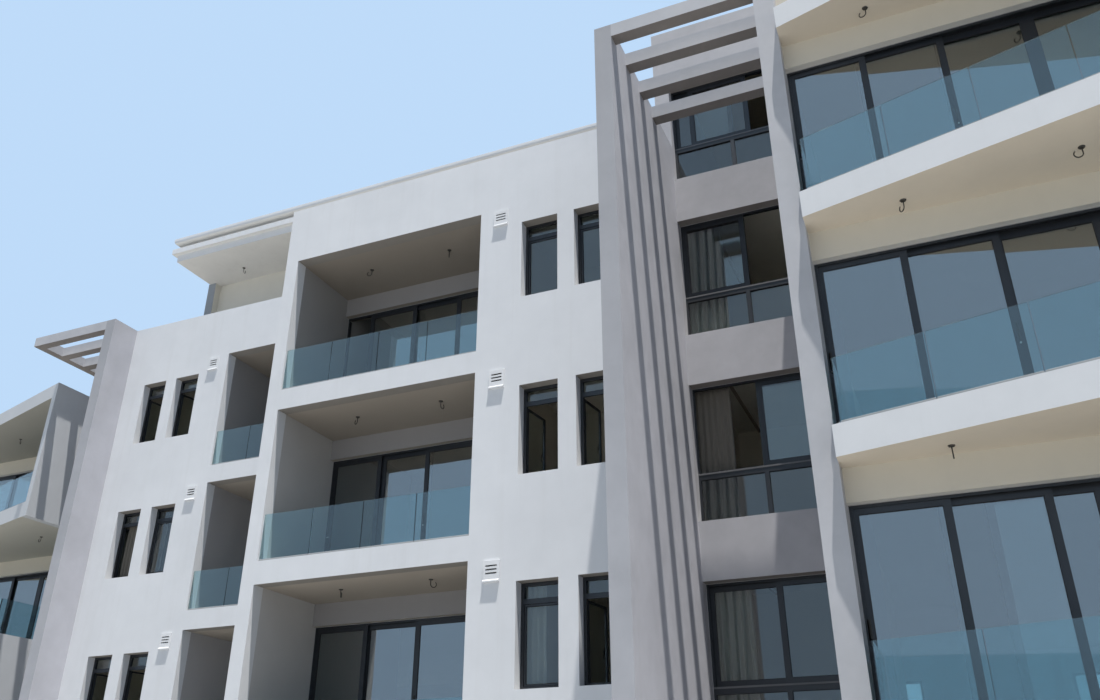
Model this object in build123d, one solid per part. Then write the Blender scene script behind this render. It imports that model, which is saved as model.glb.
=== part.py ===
"""Four-storey apartment block with a set-back penthouse, in millimetres.

x runs along the front from left to right, y runs into the building and z is up. While
the pieces are laid out, x = 0 and y = 0 is the corner where the right wing steps out in
front of the left wing, and z = 0 is the ground floor. At the end everything is moved so
that the origin is the middle of the block's outline, at the foot of its plinth.
"""
from build123d import *
from math import tan, radians
import os

# Storeys
storey = 3200            # floor to floor
storey_count = 4         # ground floor and three floors above it
plinth = 300             # ground slab and footing, all that is under the ground floor
slab = 200               # structural floor
band = 400               # wall band at each floor, as deep as a loggia's ceiling
parapet = 845            # above the roof deck
wall = 250               # outside walls

# Widths along the front, from the step between the wings
right_wing = 7459
left_wing = 6900
leg = 277                # pergola's side wall
right_bay = 2214         # grey window bay between the leg and the fin
left_bay = 2433
fin = 295                # full-height fin beside the right balconies
block = 6220             # glazed front of a balcony block
party_wall = 250

# Front planes and depth
wing_step = 2765         # left wing stands this far behind the right wing
right_bay_face = 1060
left_bay_face = 5370
right_lintel_face = -2040
left_lintel_face = 6145
rear_face = 14000

# Loggias
corner_wall = 280        # wall between the right wing and the left loggias
right_loggia = 4070
left_loggia = 3760
loggia_depth = 1730
loggia_partition = 150
loggia_nib = 105         # the right loggias are wider than their openings by this

# Windows of the wings
window_width = 685
window_sill = 884
window_head = 2420
window_offset = 825      # from the loggia's jamb to the first window
window_gap = 312
frame_bar = 50
frame_depth = 60
transom_drop = 278       # from a small window's head to the middle of its transom
transom_height = 78

# Wall vents
vent_offset = 412        # from the loggia's jamb to the vent's middle
vent_width = 220
vent_height = 272
vent_sill = 2466
vent_flange = 28
vent_proud = 22
vent_depth = 120
vent_slots = 3
vent_slot = 25
vent_slot_length = 193
vent_slot_pitch = 57
vent_slot_drop = 54      # from the top of the body to the first slot's middle
vent_slot_rise = 60      # a slot climbs this much on its way in
vent_lip = 40            # drip edge along the foot of the flange
vent_lip_proud = 40

# Sliding doors and sashes, whose leaves run behind the lip of a fixed frame
door_head = 2400
frame_lip = 40           # what the fixed frame shows around the leaves
frame_lip_depth = 12
frame_web = 10           # along the opening's edges, what the leaves run on
leaf_stile = 85
leaf_rail = 100
leaf_depth = 44
leaf_clearance = 3       # in front of each leaf and behind it
track_pitch = 50         # from one sliding track to the next
door_setback = 105       # from the lintel's face to the fixed frame
glass_pane = 12

# Where the leaves stand on each storey, in the opening they share
balcony_leaf = 1155
balcony_closed = (1085, 2085, 3110)   # right edges of the three left leaves
balcony_lines = {1: (1085, 2088, 2568), 2: (1129, 2181, 3269), 3: (1075, 2085, 3120)}
loggia_slid = {1: {1: 22, 2: 62}, 2: {1: 77, 2: 40}, 3: {0: 550, 1: 527, 2: 560}}
bay_slid = {2: (1, 0), 3: (0, 1), 4: (0, 0.7)}   # share of its travel that each sash has run

# Window bays
bay_sill = 115
bay_setback = 190
bay_rail = 830           # underside of the transom rail
bay_rail_height = 70
bay_mullion = 66
bay_nib = 50             # strip of wall between the right windows and the fin
penthouse_bay_head = 2290

# Pergolas, legs and fins
pergola_front = -2268    # front of the right pergola, leg and fin
left_pergola_front = 2040
beam_count = 4
beam_pitch = 699
beam_width = 214
beam_height = 243
white_fin = 200          # fins at the free end of the balconies
fin_storeys = (1, 3)     # storeys whose balconies have a white fin

# Balconies
balcony_edge = 385       # thickness of the balcony slabs
right_edge_start = -2450  # front edge of the slab beside the fin
right_edge_angle = 15.0
left_edge_start = 3000
left_edge_angle = 15.9

# Glass balustrades
rail_glass = 15
rail_height = 830
rail_inset = 45
rail_joint = 12
rail_pane = 1038
rail_end_gap = 105       # clear of the tall fin

# Penthouse
penthouse_left = -6240
penthouse_front = 4400
penthouse_rear = 11000
penthouse_wall = 240
penthouse_wing = 200     # the left side wall runs this far past the front wall
penthouse_height = 2825
penthouse_roof_front = 2930
penthouse_roof_rear = 11600
penthouse_roof_left = -6210
roof_fascia = 195
lower_coping = 170
coping_gap = 130
upper_coping = 190
coping_projection = 110
coping_recess = 60       # how far the gap stands behind the fascia
coping_width = 420
coping_round = 100       # rounded foot of the upper coping
coping_edge = 30         # bevel along the top of each coping
tower_height = 3700      # above the roof deck
tower_rear = 6500

# Rear windows
rear_bays = 7
rear_window_width = 1800


def block_of(x0, x1, y0, y1, z0, z1):
    """A plain block between two corners."""
    return Pos(x0, y0, z0) * Box(x1 - x0, y1 - y0, z1 - z0, align=(Align.MIN, Align.MIN, Align.MIN))


def prism(points, z0, z1):
    """A plan outline raised from z0 to z1."""
    return Pos(0, 0, z0) * extrude(make_face(Polyline(*points, close=True)), z1 - z0)


def cut(solid, holes):
    """A solid with a list of holes taken out."""
    return solid - holes if holes else solid


deck = storey * storey_count
parapet_top = deck + parapet
floors = [storey * n for n in range(storey_count)]
upper_floors = floors[1:]
clear = storey - slab
ceiling = storey - band

leg_x0 = right_wing
leg_x1 = leg_x0 + leg
fin_x0 = leg_x1 + right_bay
fin_x1 = fin_x0 + fin
right_block_x1 = fin_x1 + block
right_end = right_block_x1 + party_wall
left_leg_x1 = -left_wing
left_leg_x0 = left_leg_x1 - leg
left_bay_x0 = left_leg_x0 - left_bay
left_block_x0 = left_bay_x0 - block
left_end = left_block_x0 - party_wall

right_loggia_x0 = corner_wall
right_loggia_x1 = right_loggia_x0 + right_loggia
right_room_x1 = right_loggia_x1 + loggia_nib
left_loggia_x0 = -left_loggia
right_loggia_back = loggia_depth
left_loggia_back = wing_step + loggia_depth
rear_inner = rear_face - wall
left_block_inner = left_lintel_face + wall
right_block_inner = right_lintel_face + wall


def right_edge(x):
    """Front edge of the right balconies, which comes forward to the right."""
    return right_edge_start - (x - fin_x1) * tan(radians(right_edge_angle))


def left_edge(x):
    """Front edge of the left balconies, which falls back to the left."""
    return left_edge_start + (left_bay_x0 - x) * tan(radians(left_edge_angle))


def small_windows(jamb, side):
    """Left and right sides of a wing's two windows, seen from the loggia's jamb."""
    spans = []
    for n in range(2):
        near = jamb + side * (window_offset + n * (window_width + window_gap))
        far = near + side * window_width
        spans.append((min(near, far), max(near, far)))
    return spans


right_windows = small_windows(right_loggia_x1, 1)
left_windows = small_windows(left_loggia_x0, -1)
right_vent = right_loggia_x1 + vent_offset
left_vent = left_loggia_x0 - vent_offset


def wing_wall(x0, x1, face, loggia, windows, vent):
    """Front wall of a wing with its loggias, windows and vents cut through on each storey."""
    holes = []
    for floor in floors:
        holes.append(block_of(loggia[0], loggia[1], face, face + wall, floor, floor + ceiling))
        for left, right in windows:
            holes.append(block_of(left, right, face, face + wall, floor + window_sill, floor + window_head))
        holes.append(block_of(vent - vent_width / 2, vent + vent_width / 2, face, face + wall,
                              floor + vent_sill, floor + vent_sill + vent_height))
    return cut(block_of(x0, x1, face, face + wall, 0, parapet_top), holes)


def window_frame(x0, x1, z0, z1, face, depth, bar, uprights=(), rails=()):
    """A ring with bars: uprights and rails are (middle, width, from, to) along the opening."""
    ring = block_of(x0, x1, face, face + depth, z0, z1)
    ring -= block_of(x0 + bar, x1 - bar, face, face + depth, z0 + bar, z1 - bar)
    bars = [block_of(middle - width / 2, middle + width / 2, face, face + depth / 2, low, high)
            for middle, width, low, high in uprights]
    bars += [block_of(left, right, face, face + depth / 2, middle - width / 2, middle + width / 2)
             for middle, width, left, right in rails]
    return ring + bars if bars else ring


def window_glass(x0, x1, z0, z1, face, depth, bar):
    """The sheet of glass inside a ring, behind its bars."""
    y0 = face + depth / 2
    return block_of(x0 + bar, x1 - bar, y0, y0 + glass_pane, z0 + bar, z1 - bar)


def small_window(left, right, face, floor):
    """Frame and glass of one small window, at the back of its reveal."""
    z0 = floor + window_sill
    z1 = floor + window_head
    y0 = face + wall - frame_depth
    rail = z1 - transom_drop
    frame = window_frame(left, right, z0, z1, y0, frame_depth, frame_bar,
                         rails=[(rail, transom_height, left + frame_bar, right - frame_bar)])
    return frame, window_glass(left, right, z0, z1, y0, frame_depth, frame_bar)


def section_along_x(points, x0, x1):
    """A side outline in y and z, drawn out from x0 to x1."""
    outline = make_face(Polyline(*[(x0, y, z) for y, z in points], close=True))
    return extrude(outline, x1 - x0, dir=(1, 0, 0))


def frame_angle(edge, inward, face, depth):
    """Section of a fixed frame: a lip in front and a web along the edge that the leaves run on."""
    lip, web = edge + inward * frame_lip, edge + inward * frame_web
    back_of_lip = face + frame_lip_depth
    return [(edge, face), (lip, face), (lip, back_of_lip), (web, back_of_lip), (web, face + depth),
            (edge, face + depth)]


def sliding_frame(x0, x1, z0, z1, face, last_track):
    """Fixed frame of sliding leaves: two jambs between a sill and a head, all of one section."""
    depth = frame_lip_depth + 2 * leaf_clearance + leaf_depth + track_pitch * last_track
    jambs = [prism(frame_angle(x, inward, face, depth), z0 + frame_lip, z1 - frame_lip)
             for x, inward in ((x0, 1), (x1, -1))]
    rails = [section_along_x([(y, z) for z, y in frame_angle(edge, inward, face, depth)], x0, x1)
             for edge, inward in ((z0, 1), (z1, -1))]
    return jambs + rails


def sliding_leaf(left, right, z0, z1, face, track):
    """One leaf on its track: stiles, rails and its glass."""
    y0 = face + frame_lip_depth + leaf_clearance + track * track_pitch
    light = (left + leaf_stile, right - leaf_stile)
    leaf = block_of(left, right, y0, y0 + leaf_depth, z0, z1)
    leaf -= block_of(light[0], light[1], y0, y0 + leaf_depth, z0 + leaf_rail, z1 - leaf_rail)
    middle = y0 + leaf_depth / 2
    pane = block_of(light[0], light[1], middle - glass_pane / 2, middle + glass_pane / 2,
                    z0 + leaf_rail, z1 - leaf_rail)
    return leaf, pane


def sliding_set(x0, x1, z0, z1, face, starts, tracks, leaf_width):
    """Fixed frame, leaves and panes: starts are the leaves' left edges along the opening, and a
    leaf that would run into the frame's web is narrower."""
    frames = sliding_frame(x0, x1, z0, z1, face, max(tracks))
    panes = []
    for start, track in zip(starts, tracks):
        left = max(x0 + start, x0 + frame_web)
        right = min(x0 + start + leaf_width, x1 - frame_web)
        leaf, pane = sliding_leaf(left, right, z0 + frame_web, z1 - frame_web, face, track)
        frames.append(leaf)
        panes.append(pane)
    return frames, panes


def equal_leaves(width, count):
    """Left edges and width of leaves that close an opening with their stiles behind each other."""
    leaf_width = (width - 2 * frame_web + (count - 1) * leaf_stile) / count
    return [frame_web + n * (leaf_width - leaf_stile) for n in range(count)], leaf_width


def four_leaf_door(x0, x1, floor, face, slid=None):
    """Sliding door of four equal leaves; slid moves a leaf along its own track."""
    starts, leaf_width = equal_leaves(x1 - x0, 4)
    starts = [start + (slid or {}).get(n, 0) for n, start in enumerate(starts)]
    return sliding_set(x0, x1, floor, floor + door_head, face, starts, (0, 1, 0, 1), leaf_width)


def six_leaf_door(x0, x1, floor, face, lines):
    """Sliding door of two sets of three leaves that part in the middle; lines are the right
    edges of the left set."""
    width = x1 - x0
    starts = [line - balcony_leaf for line in lines]
    starts.append(max(balcony_closed[2], lines[2]))
    starts += [width - balcony_closed[1], width - balcony_closed[0]]
    return sliding_set(x0, x1, floor, floor + door_head, face, starts, (0, 1, 2, 2, 1, 0), balcony_leaf)


def bay_window(x0, x1, floor, face, head, slid):
    """Bay window: two sliding sashes over a transom rail and two fixed lights under it."""
    z0 = floor + bay_sill
    rail_top = floor + bay_rail + bay_rail_height
    starts, sash = equal_leaves(x1 - x0, 2)
    travel = starts[1] - starts[0]
    starts = [starts[0] + slid[0] * travel, starts[1] - slid[1] * travel]
    frames, panes = sliding_set(x0, x1, rail_top, floor + head, face, starts, (1, 0), sash)
    middle = (x0 + x1) / 2
    lights = [(x0 + frame_lip, middle - bay_mullion / 2), (middle + bay_mullion / 2, x1 - frame_lip)]
    openings = [block_of(left, right, face, face + frame_depth, z0 + frame_lip, floor + bay_rail)
                for left, right in lights]
    frames.append(cut(block_of(x0, x1, face, face + frame_depth, z0, rail_top), openings))
    pane_y = face + frame_depth / 2
    panes += [block_of(left, right, pane_y, pane_y + glass_pane, z0 + frame_lip, floor + bay_rail)
              for left, right in lights]
    return frames, panes


def vent_cover(middle, face, floor):
    """Louvred cover: a flange with a drip edge on the wall, a body in the hole, and slots that
    climb on their way in."""
    z0 = floor + vent_sill
    half = vent_width / 2
    low, high = z0 - vent_flange, z0 + vent_height + vent_flange
    flange = [(face, low), (face - vent_lip_proud, low), (face - vent_lip_proud, low + vent_lip / 2),
              (face - vent_proud, low + vent_lip), (face - vent_proud, high), (face, high)]
    cover = section_along_x(flange, middle - half - vent_flange, middle + half + vent_flange)
    cover += block_of(middle - half, middle + half, face, face + vent_depth, z0, z0 + vent_height)
    slots = []
    for n in range(vent_slots):
        foot = z0 + vent_height - vent_slot_drop - n * vent_slot_pitch - vent_slot / 2
        slot = [(face - vent_proud, foot), (face + vent_depth, foot + vent_slot_rise),
                (face + vent_depth, foot + vent_slot_rise + vent_slot), (face - vent_proud, foot + vent_slot)]
        slots.append(section_along_x(slot, middle - vent_slot_length / 2, middle + vent_slot_length / 2))
    return cut(cover, slots)


def straight_balustrade(x0, x1, y0, floor):
    """Frameless panes of equal width along the front of a loggia."""
    count = max(1, round((x1 - x0) / rail_pane))
    pitch = (x1 - x0) / count
    return [block_of(x0 + n * pitch + rail_joint / 2, x0 + (n + 1) * pitch - rail_joint / 2,
                     y0, y0 + rail_glass, floor, floor + rail_height) for n in range(count)]


def edge_pane(start, end, floor):
    """One pane between two points of the balcony's edge."""
    direction = Vector(end[0] - start[0], end[1] - start[1], 0).normalized()
    gap = direction * (rail_joint / 2)
    inward = Vector(-direction.Y, direction.X, 0) * rail_glass
    a = Vector(*start, 0) + gap
    b = Vector(*end, 0) - gap
    corners = [a, b, b + inward, a + inward]
    return prism([(p.X, p.Y) for p in corners], floor, floor + rail_height)


def edge_balustrade(edge, x0, x1, floor):
    """Frameless panes along a slanting edge, set in from it; the last takes what is left."""
    count = max(1, round((x1 - x0) / rail_pane))
    joints = [x0 + n * rail_pane for n in range(count)] + [x1]
    points = [(x, edge(x) + rail_inset) for x in joints]
    return [edge_pane(points[n], points[n + 1], floor) for n in range(count)]


nodes = {}

# Ground slab and plinth, one bay under each part of the front
plinth_bays = [
    (left_end, left_edge(left_end), left_bay_x0, left_edge_start),
    (left_bay_x0, left_pergola_front, left_leg_x1, left_pergola_front),
    (left_leg_x1, wing_step, 0, wing_step),
    (0, 0, leg_x0, 0),
    (leg_x0, pergola_front, fin_x1, pergola_front),
    (fin_x1, right_edge_start, right_end, right_edge(right_end)),
]
nodes["plinth"] = [prism([(x0, y0), (x1, y1), (x1, rear_face), (x0, rear_face)], -plinth, 0)
                   for x0, y0, x1, y1 in plinth_bays]

# Upper floors and roof deck, cast in bays between the front walls and the rear wall
floor_bays = [
    (left_block_x0, left_bay_x0 + wall, left_block_inner),
    (left_bay_x0 + wall, left_leg_x1, left_bay_face + wall),
    (left_leg_x1, 0, wing_step + wall),
    (0, corner_wall, left_loggia_back + wall),
    (corner_wall, leg_x0, wall),
    (leg_x0, fin_x1, right_bay_face + wall),
    (fin_x1, right_block_x1, right_block_inner),
]
for n, level in enumerate(upper_floors + [deck]):
    name = "roof_deck" if level == deck else f"floor_slab_{n + 1}"
    nodes[name] = [block_of(x0, x1, y0, rear_inner, level - slab, level) for x0, x1, y0 in floor_bays]

# Front walls of the two wings and the wall between them
nodes["right_wing_front_wall"] = wing_wall(0, leg_x0, 0, (right_loggia_x0, right_loggia_x1),
                                           right_windows, right_vent)
nodes["left_wing_front_wall"] = wing_wall(left_leg_x1, 0, wing_step, (left_loggia_x0, 0),
                                          left_windows, left_vent)
nodes["corner_wall"] = [block_of(0, corner_wall, wall, left_loggia_back + wall, 0, deck),
                        block_of(0, corner_wall, wall, wing_step + wall, deck, parapet_top)]

# Loggias: ceiling, lintel over the doors and the side partition of each storey
right_loggia_walls = []
left_loggia_walls = []
loggia_ceilings = []
for floor in floors:
    top = floor + clear
    right_loggia_walls.append(block_of(right_loggia_x0, right_room_x1, right_loggia_back,
                                       right_loggia_back + wall, floor + door_head, top))
    right_loggia_walls.append(block_of(right_room_x1, right_room_x1 + loggia_partition, wall,
                                       right_loggia_back + wall, floor, top))
    left_loggia_walls.append(block_of(left_loggia_x0, 0, left_loggia_back, left_loggia_back + wall,
                                      floor + door_head, top))
    left_loggia_walls.append(block_of(left_loggia_x0 - loggia_partition, left_loggia_x0, wing_step + wall,
                                      left_loggia_back + wall, floor, top))
    loggia_ceilings.append(block_of(right_loggia_x0, right_room_x1, wall, right_loggia_back,
                                    floor + ceiling, top))
    loggia_ceilings.append(block_of(left_loggia_x0, 0, wing_step + wall, left_loggia_back,
                                    floor + ceiling, top))
nodes["loggia_walls"] = right_loggia_walls + left_loggia_walls
nodes["loggia_ceilings"] = loggia_ceilings

# Loggia doors and balustrades
loggias = (("right", right_loggia_x0, right_loggia_x1, right_room_x1, right_loggia_back, 0, loggia_slid),
           ("left", left_loggia_x0, 0, 0, left_loggia_back, wing_step, {}))
for side, x0, x1, room_x1, back, front, slid in loggias:
    frames = []
    glass = []
    balustrade = []
    for n, floor in enumerate(floors):
        leaves, panes = four_leaf_door(x0, room_x1, floor, back + door_setback, slid.get(n))
        frames += leaves
        glass += panes
        balustrade += straight_balustrade(x0, x1, front + rail_inset, floor)
    nodes[f"{side}_loggia_doors"] = frames
    nodes[f"{side}_loggia_door_glass"] = glass
    nodes[f"{side}_loggia_balustrade"] = balustrade

# Small windows and vents of the wings
wing_windows = [small_window(left, right, face, floor)
                for windows, face in ((right_windows, 0), (left_windows, wing_step))
                for left, right in windows for floor in floors]
nodes["wing_window_frames"] = [frame for frame, sheet in wing_windows]
nodes["wing_window_glass"] = [sheet for frame, sheet in wing_windows]
nodes["wall_vents"] = [vent_cover(middle, face, floor) for floor in floors
                       for middle, face in ((right_vent, 0), (left_vent, wing_step))]

# Pergola legs, beams and the tall fin
beam_z0 = parapet_top - beam_height
nodes["right_pergola_leg"] = block_of(leg_x0, leg_x1, pergola_front, right_bay_face, 0, parapet_top)
nodes["left_pergola_leg"] = block_of(left_leg_x0, left_leg_x1, left_pergola_front, left_bay_face,
                                     0, parapet_top)
nodes["tall_fin"] = block_of(fin_x0, fin_x1, pergola_front, right_bay_face, 0, parapet_top)
nodes["right_pergola_beams"] = [
    block_of(leg_x1, fin_x0, pergola_front + n * beam_pitch, pergola_front + n * beam_pitch + beam_width,
             beam_z0, parapet_top) for n in range(beam_count)]
left_beams = [
    block_of(left_bay_x0 + beam_width, left_leg_x0, left_pergola_front + n * beam_pitch,
             left_pergola_front + n * beam_pitch + beam_width, beam_z0, parapet_top)
    for n in range(beam_count)]
end_beam = block_of(left_bay_x0, left_bay_x0 + beam_width, left_pergola_front, left_bay_face,
                    beam_z0, parapet_top)
nodes["left_pergola_beams"] = [end_beam] + left_beams

# Window bays: spandrels between full-width windows, the right one rising past the penthouse
roof_level = deck + penthouse_height
tower_top = deck + tower_height


def bay_wall(x0, x1, window_x0, window_x1, face, levels, top):
    """Wall of a window bay: two piers, and spandrels under, between and over its windows."""
    edges = [0]
    for level, head in levels:
        edges += [level + bay_sill, level + head]
    edges.append(top)
    spandrels = [block_of(window_x0, window_x1, face, face + wall, low, high)
                 for low, high in zip(edges[::2], edges[1::2])]
    return [block_of(x0, window_x0, face, face + wall, 0, top),
            block_of(window_x1, x1, face, face + wall, 0, top)] + spandrels


storey_levels = [(floor, door_head) for floor in floors]
tower_levels = storey_levels + [(deck, penthouse_bay_head)]
right_bay_x1 = fin_x0 - bay_nib
nodes["right_bay_wall"] = bay_wall(leg_x0, fin_x1, leg_x1, right_bay_x1, right_bay_face, tower_levels,
                                   tower_top)
left_bay_front = bay_wall(left_bay_x0, left_leg_x1, left_bay_x0 + wall, left_leg_x0, left_bay_face,
                          storey_levels, parapet_top)
left_bay_return = block_of(left_bay_x0, left_bay_x0 + wall, left_bay_face + wall, left_block_inner,
                           0, parapet_top)
nodes["left_bay_wall"] = left_bay_front + [left_bay_return]
bay_frames = []
bay_glass = []
bays = ((leg_x1, right_bay_x1, right_bay_face, tower_levels, bay_slid),
        (left_bay_x0 + wall, left_leg_x0, left_bay_face, storey_levels, {}))
for x0, x1, face, levels, slid in bays:
    for n, (level, head) in enumerate(levels):
        frames, panes = bay_window(x0, x1, level, face + bay_setback, head, slid.get(n, (0, 0)))
        bay_frames += frames
        bay_glass += panes
nodes["bay_window_frames"] = bay_frames
nodes["bay_window_glass"] = bay_glass

# Stair tower over the right bay, up past the penthouse roof
tower_inner = right_bay_face + wall
nodes["stair_tower"] = [
    block_of(leg_x0, leg_x0 + wall, tower_inner, tower_rear, deck, tower_top),
    block_of(fin_x1 - wall, fin_x1, tower_inner, tower_rear, deck, tower_top),
    block_of(leg_x0 + wall, fin_x1 - wall, tower_rear - wall, tower_rear, deck, tower_top),
    block_of(leg_x0 + wall, fin_x1 - wall, tower_inner, tower_rear - wall, tower_top - slab, tower_top),
]

# Balcony blocks: slabs, lintels, sliding doors, balustrades, white fins and party walls
white_fin_x0 = right_end - white_fin
left_fin_x0 = left_bay_x0 - white_fin


def right_slab(z0, z1):
    """A right balcony slab, from its slanting edge to the inside of the lintel."""
    return prism([(fin_x1, right_edge_start), (white_fin_x0, right_edge(white_fin_x0)),
                  (white_fin_x0, right_lintel_face), (right_block_x1, right_lintel_face),
                  (right_block_x1, right_block_inner), (fin_x1, right_block_inner)], z0, z1)


def left_slab(z0, z1):
    """A left balcony slab, the same way round."""
    return prism([(left_end, left_edge(left_end)), (left_fin_x0, left_edge(left_fin_x0)),
                  (left_fin_x0, left_lintel_face), (left_bay_x0, left_lintel_face),
                  (left_bay_x0, left_block_inner), (left_block_x0, left_block_inner),
                  (left_block_x0, left_lintel_face), (left_end, left_lintel_face)], z0, z1)


for side, slab_at in (("right", right_slab), ("left", left_slab)):
    nodes[f"{side}_balcony_slabs"] = [slab_at(level - balcony_edge, level) for level in upper_floors + [deck]]

for side, x0, x1, lintel, lines in (("right", fin_x1, right_block_x1, right_lintel_face, balcony_lines),
                                    ("left", left_block_x0, left_bay_x0, left_lintel_face, {})):
    lintels = [block_of(x0, x1, lintel, lintel + wall, floor + door_head, floor + storey - balcony_edge)
               for floor in floors]
    nodes[f"{side}_block_front_wall"] = lintels + [block_of(x0, x1, lintel, lintel + wall, deck, parapet_top)]
    frames = []
    glass = []
    for n, floor in enumerate(floors):
        leaves, panes = six_leaf_door(x0, x1, floor, lintel + door_setback, lines.get(n, balcony_closed))
        frames += leaves
        glass += panes
    nodes[f"{side}_balcony_doors"] = frames
    nodes[f"{side}_balcony_door_glass"] = glass

right_rail = []
left_rail = []
for n, floor in enumerate(floors):
    start = fin_x1 + rail_end_gap
    end = white_fin_x0 if n in fin_storeys else white_fin_x0 - rail_inset
    right_rail += edge_balustrade(right_edge, start, end, floor)
    right_rail.append(block_of(start - rail_glass, start, right_edge(start) + rail_inset + rail_glass,
                               right_lintel_face + door_setback - rail_joint, floor, floor + rail_height))
    if n not in fin_storeys:
        right_rail.append(block_of(end, end + rail_glass, right_edge(end) + rail_inset + rail_glass,
                                   right_lintel_face, floor, floor + rail_height))
    start = left_end + rail_inset
    end = left_fin_x0 if n in fin_storeys else left_fin_x0 - rail_inset
    left_rail += edge_balustrade(left_edge, start, end, floor)
    left_rail.append(block_of(start - rail_glass, start, left_edge(start) + rail_inset + rail_glass,
                              left_lintel_face, floor, floor + rail_height))
    if n not in fin_storeys:
        left_rail.append(block_of(end, end + rail_glass, left_edge(end) + rail_inset + rail_glass,
                                  left_lintel_face, floor, floor + rail_height))
nodes["right_balcony_balustrade"] = right_rail
nodes["left_balcony_balustrade"] = left_rail

right_fins = []
left_fins = []
for n in fin_storeys:
    z0 = storey * n - balcony_edge
    z1 = storey * (n + 1)
    right_fins.append(prism([(white_fin_x0, right_edge(white_fin_x0)), (right_end, right_edge(right_end)),
                             (right_end, right_lintel_face), (white_fin_x0, right_lintel_face)], z0, z1))
    left_fins.append(prism([(left_fin_x0, left_edge(left_fin_x0)), (left_bay_x0, left_edge_start),
                            (left_bay_x0, left_lintel_face), (left_fin_x0, left_lintel_face)], z0, z1))
nodes["white_fins"] = right_fins + left_fins
nodes["right_party_wall"] = block_of(right_block_x1, right_end, right_lintel_face, rear_face, 0, parapet_top)
nodes["left_party_wall"] = block_of(left_end, left_block_x0, left_lintel_face, rear_face, 0, parapet_top)

# Rear wall with wide windows and small ones in turn
rear_pitch = (right_block_x1 - left_block_x0) / rear_bays
rear_spans = []
for n in range(rear_bays):
    middle = left_block_x0 + (n + 0.5) * rear_pitch
    wide = n % 2 == 0
    half = (rear_window_width if wide else window_width) / 2
    rear_spans.append((middle - half, middle + half, wide))
rear_holes = []
rear_frames = []
rear_glass = []
for floor in floors:
    z0, z1 = floor + window_sill, floor + window_head
    for left, right, wide in rear_spans:
        rear_holes.append(block_of(left, right, rear_inner, rear_face, z0, z1))
        uprights = [((left + right) / 2, frame_bar, z0 + frame_bar, z1 - frame_bar)] if wide else []
        rear_frames.append(window_frame(left, right, z0, z1, rear_inner, frame_depth, frame_bar, uprights))
        rear_glass.append(window_glass(left, right, z0, z1, rear_inner, frame_depth, frame_bar))
nodes["rear_wall"] = cut(block_of(left_block_x0, right_block_x1, rear_inner, rear_face, 0, parapet_top),
                         rear_holes)
nodes["rear_window_frames"] = rear_frames
nodes["rear_window_glass"] = rear_glass

# Penthouse: walls, doors to the terrace, and a roof with two stepped copings
penthouse_doors = [(-2600, 1400), (2700, 6700)]
penthouse_rear_windows = [(-4800, -3000), (-300, 1500), (4200, 6000)]
inner_left = penthouse_left + penthouse_wall
inner_right = leg_x0 - penthouse_wall
front_inner = penthouse_front + penthouse_wall
back_inner = penthouse_rear - penthouse_wall
nodes["penthouse_walls"] = [
    block_of(penthouse_left, inner_left, penthouse_front - penthouse_wing, penthouse_rear, deck, roof_level),
    block_of(inner_right, leg_x0, penthouse_front, penthouse_rear, deck, roof_level),
    cut(block_of(inner_left, inner_right, penthouse_front, front_inner, deck, roof_level),
        [block_of(left, right, penthouse_front, front_inner, deck, deck + door_head)
         for left, right in penthouse_doors]),
    cut(block_of(inner_left, inner_right, back_inner, penthouse_rear, deck, roof_level),
        [block_of(left, right, back_inner, penthouse_rear, deck + window_sill, deck + window_head)
         for left, right in penthouse_rear_windows]),
]
penthouse_frames = []
penthouse_glass = []
for left, right in penthouse_doors:
    leaves, panes = four_leaf_door(left, right, deck, penthouse_front + door_setback)
    penthouse_frames += leaves
    penthouse_glass += panes
for left, right in penthouse_rear_windows:
    z0, z1 = deck + window_sill, deck + window_head
    uprights = [((left + right) / 2, frame_bar, z0 + frame_bar, z1 - frame_bar)]
    penthouse_frames.append(window_frame(left, right, z0, z1, back_inner, frame_depth, frame_bar, uprights))
    penthouse_glass.append(window_glass(left, right, z0, z1, back_inner, frame_depth, frame_bar))
nodes["penthouse_window_frames"] = penthouse_frames
nodes["penthouse_window_glass"] = penthouse_glass
fascia_top = roof_level + roof_fascia
nodes["penthouse_roof"] = block_of(penthouse_roof_left, leg_x0, penthouse_roof_front, penthouse_roof_rear,
                                   roof_level, fascia_top)


def coping_section():
    """Section of the double coping: x is the reach in front of the fascia and y the height."""
    gap_top = lower_coping + coping_gap
    top = gap_top + upper_coping
    foot = coping_projection - coping_round
    bend = coping_round * (1 - 2 ** -0.5)
    lines = Polyline((coping_projection, gap_top + coping_round), (coping_projection, top - coping_edge),
                     (coping_projection - coping_edge, top), (-coping_width, top), (-coping_width, 0),
                     (coping_projection, 0), (coping_projection, lower_coping - coping_edge),
                     (coping_projection - coping_edge, lower_coping), (-coping_recess, lower_coping),
                     (-coping_recess, gap_top), (foot, gap_top))
    arc = ThreePointArc((foot, gap_top), (coping_projection - bend, gap_top + bend),
                        (coping_projection, gap_top + coping_round))
    return make_face(lines + arc)


# The coping runs round the three free sides of the roof and ends at the tower
coping_path = Polyline((leg_x0, penthouse_roof_front, fascia_top),
                       (penthouse_roof_left, penthouse_roof_front, fascia_top),
                       (penthouse_roof_left, penthouse_roof_rear, fascia_top),
                       (leg_x0, penthouse_roof_rear, fascia_top))
coping_start = Plane(origin=(leg_x0, penthouse_roof_front, fascia_top), x_dir=(0, -1, 0), z_dir=(-1, 0, 0))
nodes["roof_copings"] = sweep(coping_start * coping_section(), path=coping_path, transition=Transition.RIGHT)

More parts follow.
